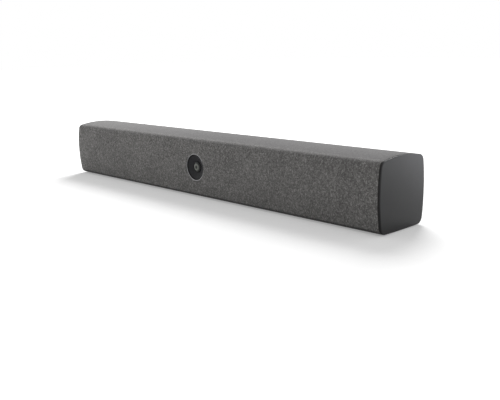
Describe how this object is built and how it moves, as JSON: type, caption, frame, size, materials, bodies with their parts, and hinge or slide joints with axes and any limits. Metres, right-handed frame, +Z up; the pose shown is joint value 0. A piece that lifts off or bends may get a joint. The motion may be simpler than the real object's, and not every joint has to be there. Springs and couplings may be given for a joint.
{
  "type": "conference camera bar",
  "caption": "Long fabric-wrapped video bar with a central camera, speakers behind the cloth, smooth end caps and a connector bay in the back.",
  "frame": {"origin": "centre of the bounding box in plan, on the surface that the feet stand on", "axes": "+X along the bar to the right as seen from the front, -Y to the front, +Z up"},
  "size_m": [0.556, 0.075, 0.076],
  "materials": {
    "housing": "fine moulded grain",
    "cloth": "grey melange weave",
    "cap": "smooth satin",
    "bezel": "satin black",
    "trim": "satin",
    "rubber": "matte",
    "lens": "coated glass",
    "steel": "zinc plated",
    "brass": "turned",
    "aluminium": "extruded",
    "inner_plastic": "moulded",
    "board": "solder mask",
    "chip": "moulded",
    "magnet": "sintered",
    "cone": "pressed paper",
    "spider": "resin-treated cloth",
    "cable": "insulation",
    "film": "polyimide",
    "pad": "silicone",
    "switch": "moulded"
  },
  "bodies": {
    "bar": {"rear_housing": "housing", "front_carrier": "housing", "fabric_cover": "cloth", "end_cap_left": "cap", "end_cap_right": "cap", "end_gaskets": "rubber", "foot_pads": "rubber", "vent_grilles": "housing", "mount_frame": "steel", "mount_inserts": "brass", "tripod_insert": "brass", "housing_screws": "steel", "camera_bezel": "bezel", "camera_trim_ring": "trim", "camera_seal": "rubber", "front_lens": "lens", "lens_retainer": "bezel", "lens_barrel": "aluminium", "rear_lenses": "lens", "lens_holder": "inner_plastic", "image_sensor": "chip", "camera_board": "board", "camera_bracket": "steel", "camera_flex_cable": "film", "speaker_enclosure_left": "inner_plastic", "speaker_enclosure_right": "inner_plastic", "speaker_frame_left": "steel", "speaker_frame_right": "steel", "speaker_top_plates": "steel", "speaker_magnets": "magnet", "speaker_yokes": "steel", "surround_left": "rubber", "surround_right": "rubber", "spider_left": "spider", "spider_right": "spider", "speaker_gaskets": "rubber", "speaker_screws": "steel", "speaker_dampers": "rubber", "speaker_wires": "cable", "main_board": "board", "board_chips": "chip", "heat_sink": "aluminium", "thermal_pad": "pad", "hdmi_ports": "steel", "ethernet_port": "steel", "usb_c_port": "steel", "power_inlet": "inner_plastic", "io_plate": "steel", "reset_switch": "switch", "mic_boards": "board", "mic_boots": "rubber", "wifi_antennas": "film", "signal_cables": "cable", "board_screws": "steel"},
    "cone_left": {"speaker_cone_left": "cone"},
    "cone_right": {"speaker_cone_right": "cone"},
    "reset_button": {"reset_button": "chip"}
  },
  "joints": [
    {"name": "cone_left_excursion", "type": "slide", "parent": "bar", "child": "cone_left", "axis": [0, -1, 0], "range_m": [-0.002, 0.002], "stiffness_N_per_m": 1500, "deforming": ["surround_left", "spider_left"]},
    {"name": "cone_right_excursion", "type": "slide", "parent": "bar", "child": "cone_right", "axis": [0, -1, 0], "range_m": [-0.002, 0.002], "stiffness_N_per_m": 1500, "deforming": ["surround_right", "spider_right"]},
    {"name": "reset_press", "type": "slide", "parent": "bar", "child": "reset_button", "axis": [0, -1, 0], "range_m": [0, 0.00035], "stiffness_N_per_m": 1500}
  ]
}
